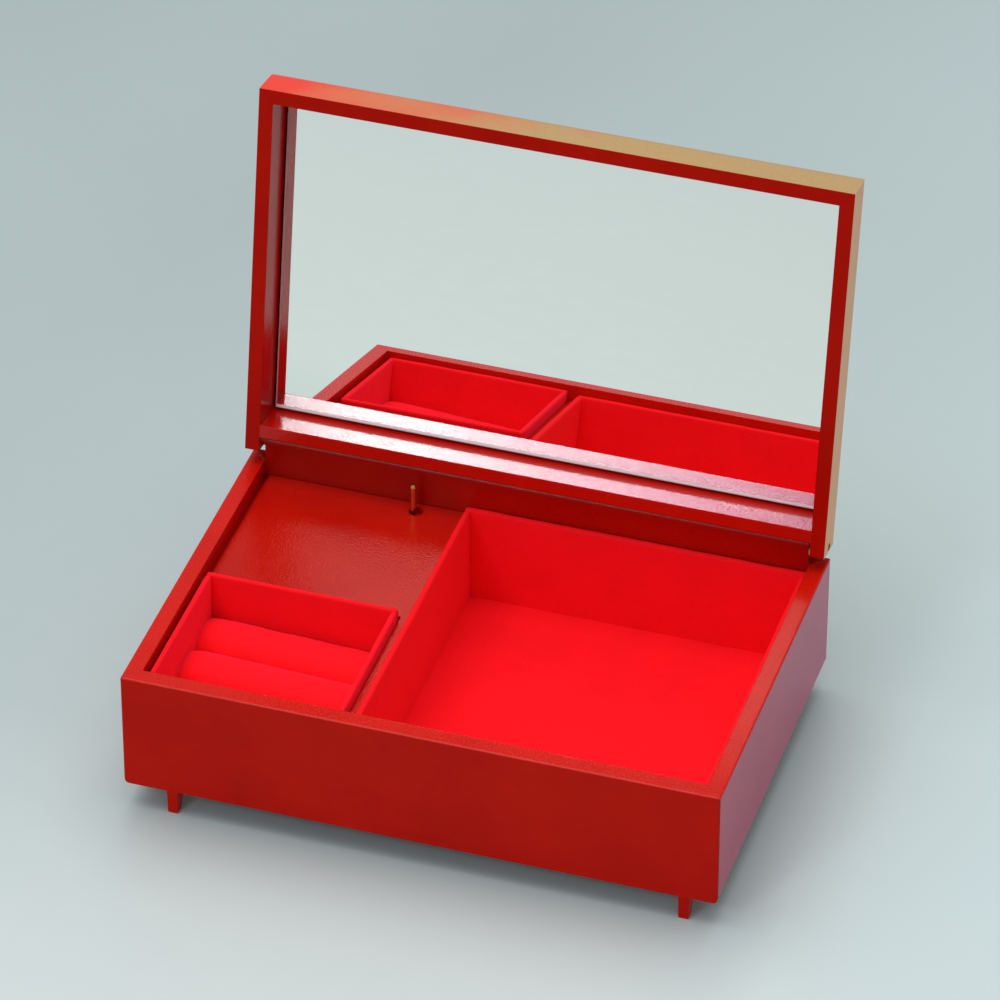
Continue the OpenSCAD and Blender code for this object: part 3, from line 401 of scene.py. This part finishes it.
def lacquer_material(
    name, finish, rough=0.16, peel=1.0, reflection_sheen=0.12, gloss=0.2, warm=0.3,
    tone=1.0, grain=1.0, edge=0.35, sand=0.02,
):
    """Red lacquer: a drifting colour below a glossy skin with a fine orange peel.

    peel, grain and tone are shares of the finish's peel depth, dimple count and colour; tone
    paints in light and shade for each surface.
    gloss and warm are the reflection's strength and paleness, the sheen weight a violet sheen at a
    glancing view that is a painted reflection of the floor, edge the rounding of edges in mm, and
    sand the extra roughness of fine specks.
    """
    t = Tree(name)
    at = t.place()
    # Painted light and shade: tone lightens or darkens the lacquer's colour for each surface
    light, dark = dim(finish.lacquer, tone), dim(finish.lacquer_dark, tone)
    drift = t.noise(at, 38.0, 4.0)
    speck = t.noise(at, 1500.0 * grain, 2.0)
    colour = t.mix(t.span(drift, 0.35, 0.65, 0.0, 1.0), light, dark)
    colour = t.mix(t.span(speck, 0.62, 0.8, 0.0, 0.2), colour, dim(light, 1.2))
    round_edges = t.add("Bevel", {"Radius": edge * MM}, samples=4).outputs["Normal"]
    dimples = t.noise(at, finish.peel_grain * grain, 2.0, 0.5)
    normal = t.bump(dimples, finish.peel * peel, 1.0, round_edges)
    roughness = t.math(
        "ADD",
        t.level(t.noise(at, 260.0), rough - 0.012, rough + 0.008),
        t.span(t.noise(at, 1500.0, 1.0), 0.4, 0.64, 0.0, sand),
    )
    return t.shader({
        "Base Color": colour, "Roughness": roughness, "Normal": normal,
        "Specular IOR Level": gloss, "Specular Tint": (1.0, warm + 0.1, warm, 1.0),
        # Painted reflection: a violet sheen at glancing views that stands for the floor seen in
        # the lacquer
        "Sheen Weight": reflection_sheen, "Sheen Roughness": 0.2, "Sheen Tint": (*finish.reflection_sheen_tint, 1.0),
    })


def make_lacquer(name, finish):
    return lacquer_material(name, finish, **LACQUERS[name])


def gold_material(name, finish, gold):
    """Gold-toned lacquer that lets a coral ground through towards the left."""
    t = Tree(name)
    at = t.place()
    cloud = t.noise(at, 26.0, 4.0)
    edge = t.math("ADD", t.split(at)["X"], t.level(cloud, -CLOUD_SHIFT, CLOUD_SHIFT))
    share = t.span(edge, CORAL_END, GOLD_START, 0.0, 1.0)
    dust = t.noise(at, 900.0, 3.0, 0.7)
    colour = t.mix(share, finish.coral, gold)
    glint = t.mix(share, dim(finish.coral, 1.2), dim(gold, 1.2))
    colour = t.mix(t.span(dust, 0.45, 0.75, 0.0, 0.5), colour, glint)
    normal = t.bump(t.noise(at, finish.peel_grain, 2.0), finish.peel * 0.8)
    return t.shader({
        "Base Color": colour, "Roughness": t.level(cloud, 0.32, 0.42),
        "Metallic": 0.15, "Normal": normal, "Specular IOR Level": 0.25,
        "Specular Tint": (1.0, 0.75, 0.5, 1.0),
    })


def wood_material(name):
    """Plain sanded wood with a straight grain."""
    t = Tree(name)
    grain = t.noise(t.stretch(t.place(), 9.0), 45.0, 6.0, 0.6)
    return t.shader({
        "Base Color": t.mix(t.level(grain), (0.52, 0.32, 0.17), (0.36, 0.2, 0.1)),
        "Roughness": t.level(grain, 0.55, 0.75), "Normal": t.bump(grain, 0.06 * MM),
    })


def metal_material(name, colour, rough, scratch):
    """Metal with a drifting tone and fine scratches along X."""
    t = Tree(name)
    at = t.place()
    lines = t.noise(t.stretch(at, 14.0), 420.0, 4.0)
    return t.shader({
        "Base Color": t.mix(t.level(t.noise(at, 150.0)), colour, dim(colour, 0.82)),
        "Metallic": 1.0, "Roughness": t.level(lines, rough * 0.75, rough * 1.3),
        "Normal": t.bump(lines, scratch),
    })


def felt_material(name, felt):
    """Short flock felt: mottled pile, a soft sheen and a fibrous surface."""
    glow, glow_tint = FELTS[name]
    t = Tree(name)
    at = t.place()
    fibre = t.noise(at, 5200.0, 3.0, 0.7)
    pile = t.noise(at, 900.0)
    brushed = t.noise(at, 60.0)
    colour = t.mix(t.level(brushed), felt.colour, dim(felt.colour, 0.93))
    colour = t.mix(t.span(fibre, 0.4, 0.7, 0.0, 0.35), colour, dim(felt.colour, 0.8))
    height = t.math("ADD", fibre, t.span(pile, 0.2, 0.8, 0.0, 1.2))
    return t.shader({
        "Base Color": colour, "Roughness": 0.95, "Specular IOR Level": 0.12,
        "Normal": t.bump(height, 0.09 * MM, 0.7),
        "Sheen Weight": glow, "Sheen Roughness": 0.45, "Sheen Tint": (*glow_tint, 1.0),
    })


def gap_shade_material(name):
    """Near-black painted shade on the inside of the lid board, seen only in the gap round the
    glass.
    """
    t = Tree(name)
    fleck = t.noise(t.place(), 700.0)
    return t.shader({
        "Base Color": t.mix(fleck, (0.012, 0.006, 0.006), (0.035, 0.012, 0.012)),
        "Roughness": 0.9, "Specular IOR Level": 0.1,
    })


def mirror_material(name, finish, along, low):
    """Silvered glass: a faintly wavy reflection, with a narrow white border at the hinge edge that
    is a painted highlight.

    along is the direction away from the hinge, and low the glass's lower edge along it.
    """
    t = Tree(name)
    at = t.place()
    height = t.add("VectorMath", {0: at, 1: along}, operation="DOT_PRODUCT").outputs["Value"]
    # Painted highlight: a white, rough border along the glass's lower edge
    painted_glint = t.span(height, low + GLINT_FADE, low + GLINT_END, 1.0, 0.0)
    wave = t.noise(at, 14.0, 2.0)
    tint = t.mix(t.level(wave), finish.mirror_tint, dim(finish.mirror_tint, 0.99))
    roughness = t.math(
        "ADD", t.level(t.noise(at, 500.0), 0.004, 0.010), t.span(painted_glint, 0.0, 1.0, 0.0, 0.5)
    )
    return t.shader({
        "Base Color": t.mix(painted_glint, tint, (0.97, 0.96, 0.98)),
        "Metallic": t.span(painted_glint, 0.0, 1.0, 1.0, 0.0), "Roughness": roughness,
        "Normal": t.bump(wave, 0.004 * MM, 0.3),
    })


def white_glint_bevel_material(name):
    """The mirror's bevel round the glass, painted near white with a full sheen as a painted
    highlight.
    """
    t = Tree(name)
    grit = t.noise(t.place(), 2500.0, 2.0)
    return t.shader({
        "Base Color": t.mix(t.level(grit), (0.97, 0.97, 0.98), (0.9, 0.91, 0.93)),
        "Roughness": t.level(grit, 0.4, 0.6), "Normal": t.bump(grit, 0.02 * MM),
        "Sheen Weight": 1.0, "Sheen Roughness": 0.5,
    })


def floor_material(name, stage):
    """Matt studio floor with painted light: brighter towards the right and in front of the
    picture.
    """
    t = Tree(name)
    at = t.place()
    xyz = t.split(at)
    # Painted light: the floor brightens towards the right and the front
    slope = t.math(
        "MULTIPLY_ADD", xyz["X"], FLOOR_SLOPE_X, t.math("MULTIPLY", xyz["Y"], FLOOR_SLOPE_Y)
    )
    colour = t.mix(
        t.span(slope, -SLOPE_REACH, SLOPE_REACH, 0.0, 1.0),
        dim(stage.floor, 1.0 - SLOPE_DEPTH), dim(stage.floor, 1.0 + SLOPE_DEPTH),
    )
    cloud = t.noise(at, 3.0, 2.0)
    colour = t.mix(t.span(cloud, 0.35, 0.65, 0.0, 0.25), colour, stage.floor)
    # Painted light: the floor in front brightens further
    colour = t.mix(t.span(xyz["Y"], LIGHT_POOL_START, LIGHT_POOL_FULL, 0.0, 1.0), colour, stage.light_pool)
    return t.shader({
        "Base Color": colour, "Roughness": t.level(t.noise(at, 90.0), 0.3, 0.38),
        "Specular IOR Level": 0.45,
    })


# ---------------------------------------------------------------- mesh helpers


def make_object(name, bm):
    bmesh.ops.remove_doubles(bm, verts=bm.verts, dist=1e-7)
    bmesh.ops.recalc_face_normals(bm, faces=bm.faces)
    mesh = bpy.data.meshes.new(name)
    bm.to_mesh(mesh)
    bm.free()
    for polygon in mesh.polygons:
        polygon.use_smooth = True
    obj = bpy.data.objects.new(name, mesh)
    bpy.context.scene.collection.objects.link(obj)
    return obj


def stations(half, r, step):
    """Places along one edge of a soft box, closer together at its rounded ends."""
    ends = [half - r * k for k in (0.0, 0.35, 0.7, 1.0)]
    inner = max(1, round(2 * (half - r) / step))
    middle = [-(half - r) + 2 * (half - r) * i / inner for i in range(1, inner)]
    return [-e for e in ends] + middle + ends[::-1]


def unevenness(spot, seed, waves):
    """Sum of the felt's waves at a place, roughly within -1..1."""
    return sum(noise.noise(spot * count + seed) * share for count, share in waves)


def soft_box(name, lo, hi, r, step, wave, seed):
    """A felt-covered board: rounded by r, cut at step and uneven by wave."""
    centre = (lo + hi) / 2
    half = (hi - lo) / 2
    core = Vector([max(h - r, 0.0) for h in half])
    # The ends stay just under half the thickness, so that a thin board keeps a flat middle
    places = [stations(h, min(r, h * 0.98), step) for h in half]
    bm = bmesh.new()
    for axis in range(3):
        u, v = (axis + 1) % 3, (axis + 2) % 3
        for sign in (-1.0, 1.0):
            rows = []
            for pu in places[u]:
                row = []
                for pv in places[v]:
                    p = Vector((0.0, 0.0, 0.0))
                    p[axis], p[u], p[v] = sign * half[axis], pu, pv
                    inner = Vector([max(-c, min(c, q)) for c, q in zip(core, p)])
                    out = (p - inner).normalized()
                    spot = centre + inner + out * r
                    shift = unevenness(spot, seed, BOARD_WAVES)
                    row.append(bm.verts.new(spot + out * (shift * wave)))
                rows.append(row)
            for a, b in zip(rows, rows[1:]):
                for i in range(len(a) - 1):
                    bm.faces.new((a[i], a[i + 1], b[i + 1], b[i]))
    return make_object(name, bm)


def ring_roll(name, lo, hi, step, wave, lean, seed):
    """A padded roll along X: full crown, sagging to the right, and tucked-in ends."""
    width, height = hi.y - lo.y, hi.z - lo.z
    flank = height - width / 2
    middle = (lo.y + hi.y) / 2
    length = hi.x - lo.x
    steps = max(8, round(length / step))
    bm = bmesh.new()
    rows = []
    for i in range(steps + 1):
        s = i / steps
        x = lo.x + length * s
        end = min(s, 1 - s) * length
        tuck = 1.0 - SHORT_TUCK * math.exp(-end / SHORT_REACH)
        tuck -= LONG_TUCK * math.exp(-end / LONG_REACH)
        row = []
        for j in range(ROLL_STEPS + 1):
            a = math.pi * j / ROLL_STEPS
            c, d = math.cos(a), math.sin(a)
            y = math.copysign(abs(c) ** ROLL_FULLNESS, c) * width / 2
            z = flank + (abs(d) ** ROLL_FULLNESS) * (width / 2 * tuck - lean * s)
            if j in (0, ROLL_STEPS):
                z = flank * ROLL_FOOT
            p = Vector((x, middle + y, lo.z + z))
            out = Vector((0, c, d))
            shift = unevenness(p, seed, ROLL_WAVES) * wave * ROLL_GAIN
            row.append(bm.verts.new(p + out * min(shift, ROLL_BULGE)))
        rows.append(row)
    for a, b in zip(rows, rows[1:]):
        for j in range(ROLL_STEPS):
            bm.faces.new((a[j], a[j + 1], b[j + 1], b[j]))
        bm.faces.new((a[0], b[0], b[-1], a[-1]))
    bm.faces.new(rows[0][::-1])
    bm.faces.new(rows[-1])
    return make_object(name, bm)


def dress(obj, mat, body, node):
    """Gives a felt piece its material and its body, and hides the CAD node that it stands for."""
    obj.data.materials.append(mat)
    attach(obj, body)
    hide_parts(node)


def covered_boards(kind, body, lo, hi, w, felt, mat, spread, seed):
    """Four covered boards, w thick, round a bay: the front and back ones run its full width.

    spread and seed set where each board's waves start.
    """
    boards = {
        "front": (lo, (hi.x, lo.y + w, hi.z)),
        "back": ((lo.x, hi.y - w, lo.z), hi),
        "left": ((lo.x, lo.y + w, lo.z), (lo.x + w, hi.y - w, hi.z)),
        "right": ((hi.x - w, lo.y + w, lo.z), (hi.x, hi.y - w, hi.z)),
    }
    for index, (side, (low, high)) in enumerate(boards.items()):
        board = soft_box(
            f"felt_{kind}_{side}", Vector(low), Vector(high), felt.crown, felt.cut, felt.lump,
            Vector((index * spread, *seed)),
        )
        dress(board, mat, body, f"{kind}_{side}")


def face_paint(node, picks):
    """Paints a node's faces by direction: picks is (direction, material index, least share)."""
    for polygon in NODES[node].data.polygons:
        polygon.material_index = 0
        for direction, index, least in picks:
            if polygon.normal.dot(direction) > least:
                polygon.material_index = index
                break


def lid_directions():
    """Unit vectors of the open lid: along it away from the hinge, and out of its outside."""
    hinge = next(joint for joint in frame["joints"] if joint["name"] == "lid_hinge")
    angle = math.radians(abs(hinge["range_deg"][0]))
    along = Vector((0.0, -math.cos(angle), math.sin(angle)))
    outside = Vector((0.0, math.sin(angle), math.cos(angle)))
    return along, outside


def softbox(name, at, aim, size, power, colour):
    """A rectangular area light that looks at a point."""
    data = bpy.data.lights.new(name, "AREA")
    data.shape = "RECTANGLE"
    data.size, data.size_y = size
    data.energy = power
    data.color = colour
    obj = bpy.data.objects.new(name, data)
    obj.location = at
    obj.rotation_euler = (aim - at).to_track_quat("-Z", "Y").to_euler()
    bpy.context.scene.collection.objects.link(obj)


# ---------------------------------------------------------------- operators


class VANITY_OT_case(bpy.types.Operator):
    """Lacquer the case, its feet and its deck, and leave the hidden boards bare"""

    bl_idname = "vanity.case"
    bl_label = "Case"

    def execute(self, context):
        finish = context.scene.vanity_finish
        plain, rims = make_lacquer("case_lacquer", finish), make_lacquer("rim_lacquer", finish)
        paint(LACQUERED, plain)
        paint(["deck"], make_lacquer("grained_lacquer", finish))
        paint(["back_wall"], make_lacquer("wall_lacquer", finish))
        # Painted reflection: the right wall takes a full violet sheen for the floor that it
        # reflects
        paint(["right_wall"], make_lacquer("sheen_reflection_lacquer", finish))
        paint(WOODEN, wood_material("bare_wood"))
        # Up-facing tops take the rim copy of the lacquer, whose tone is painted light
        tops = {**{node: rims for node in RIMMED}, "back_cleat": plain}
        for node, top in tops.items():
            NODES[node].data.materials.append(top)
            face_paint(node, [(UP, 1, FACE_SHARE)])
        return {"FINISHED"}


class VANITY_OT_lid(bpy.types.Operator):
    """Gild the lid's outside, lacquer its inside and silver its mirror"""

    bl_idname = "vanity.lid"
    bl_label = "Lid and mirror"

    def execute(self, context):
        finish = context.scene.vanity_finish
        red, band = make_lacquer("lid_lacquer", finish), make_lacquer("hinge_rail_lacquer", finish)
        # Painted shade: the lid board's inside is near black, for the shade in the gap round the
        # mirror
        gap_shade = gap_shade_material("mirror_gap_shade")
        gold = gold_material("gold_lacquer", finish, finish.gold)
        # Painted light: the lighter, pinker copy of the gold for the right-facing side
        side = gold_material("side_gold_lacquer", finish, finish.right_lit_gold)
        along, outside = lid_directions()
        # Inside finish of each node, and the directions in which it is gilded
        boards = {
            "lid_left_rail": (red, [LEFT, outside, along]),
            "lid_right_rail": (red, [RIGHT, outside, along]),
            "lid_front_rail": (red, [along, outside]),
            "lid_hinge_rail": (band, [outside]),
            # The lid board's inside takes the painted shade
            "lid_top": (gap_shade, [LEFT, RIGHT, along, -along, outside]),
        }
        for node, (inside, directions) in boards.items():
            paint([node], inside)
            NODES[node].data.materials.append(gold)
            NODES[node].data.materials.append(side)
            # Right-facing flat faces take the lighter copy of the gold, which is painted light
            flat = [(RIGHT, 2, FLAT_SHARE)] if RIGHT in directions else []
            face_paint(node, flat + [(d, 1, FACE_SHARE) for d in directions])
        glass = NODES["mirror"].data
        low = min(v.co.dot(along) for v in glass.vertices)
        paint(["mirror"], mirror_material("silvered_glass", finish, along, low))
        # Painted highlight: the bevel faces take the near-white glint material
        glass.materials.append(white_glint_bevel_material("white_glint_bevel"))
        for polygon in glass.polygons:
            square = abs(polygon.normal.dot(outside)) > SQUARE_SHARE
            polygon.material_index = 0 if square else 1
        return {"FINISHED"}


class VANITY_OT_metalwork(bpy.types.Operator):
    """Finish the pins, the movement and the winding key"""

    bl_idname = "vanity.metalwork"
    bl_label = "Metalwork"

    def execute(self, context):
        for name, (colour, rough, scratch, nodes) in METALS.items():
            paint(nodes, metal_material(name, colour, rough, scratch))
        return {"FINISHED"}


class VANITY_OT_large_lining(bpy.types.Operator):
    """Line the large compartment with felt-covered boards"""

    bl_idname = "vanity.large_lining"
    bl_label = "Large lining"

    def execute(self, context):
        felt = context.scene.vanity_felt
        mat, wall_mat = felt_material("red_felt", felt), felt_material("red_felt_walls", felt)
        front, back, left, right, floor = (
            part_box("lining_" + part) for part in ("front", "back", "left", "right", "floor")
        )
        edge = LINING_EDGE
        lo = Vector((left[0].x - edge, front[0].y - edge, floor[0].z + LINING_RISE))
        hi = Vector((right[1].x + edge, back[1].y + edge, front[1].z + LINING_TOP))
        covered_boards("lining", "case", lo, hi, felt.wall, felt, wall_mat, 7.3, (1.1, 2.0))
        pad = soft_box(
            "felt_lining_floor", lo, Vector((hi.x, hi.y, floor[1].z + PAD_FELT)), PAD_CROWN,
            felt.cut * PAD_STEP, felt.lump, Vector((40.0, 3.0, 1.0)),
        )
        dress(pad, mat, "case", "lining_floor")
        return {"FINISHED"}


class VANITY_OT_ring_tray(bpy.types.Operator):
    """Cover the drop-in ring tray with felt"""

    bl_idname = "vanity.ring_tray"
    bl_label = "Ring tray"

    def execute(self, context):
        felt = context.scene.vanity_felt
        mat = felt_material("red_felt_tray", felt)
        paint(["tray_base"], mat)
        front, back, left, right = (
            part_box("tray_" + part) for part in ("front", "back", "left", "right")
        )
        edge = TRAY_EDGE
        lo = Vector((left[0].x - edge, front[0].y - edge, front[0].z - TRAY_SKIRT))
        hi = Vector((right[1].x + edge, back[1].y + edge, front[1].z + TRAY_TOP))
        w = left[1].x - left[0].x + edge
        covered_boards("tray", "ring_tray", lo, hi, w, felt, mat, 5.1, (8.1, 4.0))
        return {"FINISHED"}


class VANITY_OT_ring_rolls(bpy.types.Operator):
    """Make the padded rolls that grip the rings"""

    bl_idname = "vanity.ring_rolls"
    bl_label = "Ring rolls"

    def execute(self, context):
        felt = context.scene.vanity_felt
        mat = felt_material("red_felt_rolls", felt)
        for index, part in enumerate(("front", "middle", "back")):
            lo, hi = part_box("ring_roll_" + part)
            roll = ring_roll(
                "felt_roll_" + part, lo - ROLL_FELT, hi + ROLL_FELT, felt.cut, felt.lump,
                felt.lean, Vector((index * 9.7, 2.2, 5.0)),
            )
            dress(roll, mat, "ring_tray", "ring_roll_" + part)
        return {"FINISHED"}


class VANITY_OT_stage(bpy.types.Operator):
    """Set the floor, the lights, the surroundings and the camera"""

    bl_idname = "vanity.stage"
    bl_label = "Stage"

    def execute(self, context):
        stage = context.scene.vanity_stage
        self.make_floor(stage)
        self.make_world(context.scene, stage)
        self.make_lights(stage)
        self.make_camera(context.scene, stage)
        context.scene.view_settings.view_transform = "Standard"
        return {"FINISHED"}

    def make_floor(self, stage):
        bm = bmesh.new()
        bmesh.ops.create_grid(bm, x_segments=1, y_segments=1, size=FLOOR_HALF)
        floor = make_object("studio_floor", bm)
        floor.data.materials.append(floor_material("studio_floor", stage))

    def make_world(self, scene, stage):
        world = bpy.data.worlds.new("studio")
        scene.world = world
        world.use_nodes = True
        nodes, links = world.node_tree.nodes, world.node_tree.links
        nodes.clear()
        out = nodes.new("ShaderNodeOutputWorld")
        sky = nodes.new("ShaderNodeBackground")
        sky.inputs["Color"].default_value = (*SKY_COLOUR, 1.0)
        sky.inputs["Strength"].default_value = stage.fill
        links.new(sky.outputs["Background"], out.inputs["Surface"])

    def make_lights(self, stage):
        softbox(
            "overhead", OVERHEAD_AT, OVERHEAD_AIM, OVERHEAD_SIZE, stage.overhead, OVERHEAD_COLOUR
        )
        across = (PANEL_AIM - PANEL_AT).cross(UP).normalized()
        for name, shift, width, share, colour in FRONT_STRIPS:
            softbox(
                "front_strip_" + name, PANEL_AT + across * shift, PANEL_AIM + across * shift,
                (width, PANEL_HEIGHT), stage.panel * share, colour,
            )

    def make_camera(self, scene, stage):
        data = bpy.data.cameras.new("photo_camera")
        data.sensor_width = 36.0
        data.lens = stage.lens
        data.dof.use_dof = False
        data.clip_start, data.clip_end = 0.05, 50.0
        camera = bpy.data.objects.new("photo_camera", data)
        scene.collection.objects.link(camera)
        a, e, r = stage.azimuth, stage.elevation, stage.roll
        back = Vector((math.sin(a) * math.cos(e), -math.cos(a) * math.cos(e), math.sin(e)))
        right = Vector((math.cos(a), math.sin(a), 0.0))
        up = back.cross(right)
        turned_right = right * math.cos(r) + up * math.sin(r)
        turned_up = up * math.cos(r) - right * math.sin(r)
        axes = Matrix((turned_right, turned_up, back)).transposed()
        camera.matrix_world = (
            Matrix.Translation(Vector(stage.target) + back * stage.distance) @ axes.to_4x4()
        )
        scene.camera = camera


OPERATORS = [
    VANITY_OT_case, VANITY_OT_lid, VANITY_OT_metalwork, VANITY_OT_large_lining,
    VANITY_OT_ring_tray, VANITY_OT_ring_rolls, VANITY_OT_stage,
]


class VANITY_PT_panel(bpy.types.Panel):
    """Sidebar panel of the vanity box"""

    bl_label = "Vanity Box"
    bl_idname = "VANITY_PT_panel"
    bl_space_type = "VIEW_3D"
    bl_region_type = "UI"
    bl_category = "Vanity Box"

    def draw(self, context):
        scene = context.scene
        for group in (scene.vanity_finish, scene.vanity_felt, scene.vanity_stage):
            box = self.layout.box()
            for name in group.bl_rna.properties.keys():
                if name not in ("rna_type", "name"):
                    box.prop(group, name)
        for operator in OPERATORS:
            self.layout.operator(operator.bl_idname)


CLASSES = [VanityFinish, VanityFelt, VanityStage, *OPERATORS, VANITY_PT_panel]


def register():
    for item in CLASSES:
        bpy.utils.register_class(item)
    bpy.types.Scene.vanity_finish = bpy.props.PointerProperty(type=VanityFinish)
    bpy.types.Scene.vanity_felt = bpy.props.PointerProperty(type=VanityFelt)
    bpy.types.Scene.vanity_stage = bpy.props.PointerProperty(type=VanityStage)


def unregister():
    del bpy.types.Scene.vanity_stage
    del bpy.types.Scene.vanity_felt
    del bpy.types.Scene.vanity_finish
    for item in reversed(CLASSES):
        bpy.utils.unregister_class(item)


def main():
    register()
    bpy.ops.vanity.case()
    bpy.ops.vanity.lid()
    bpy.ops.vanity.metalwork()
    bpy.ops.vanity.large_lining()
    bpy.ops.vanity.ring_tray()
    bpy.ops.vanity.ring_rolls()
    bpy.ops.vanity.stage()


if __name__ == "__main__":
    main()
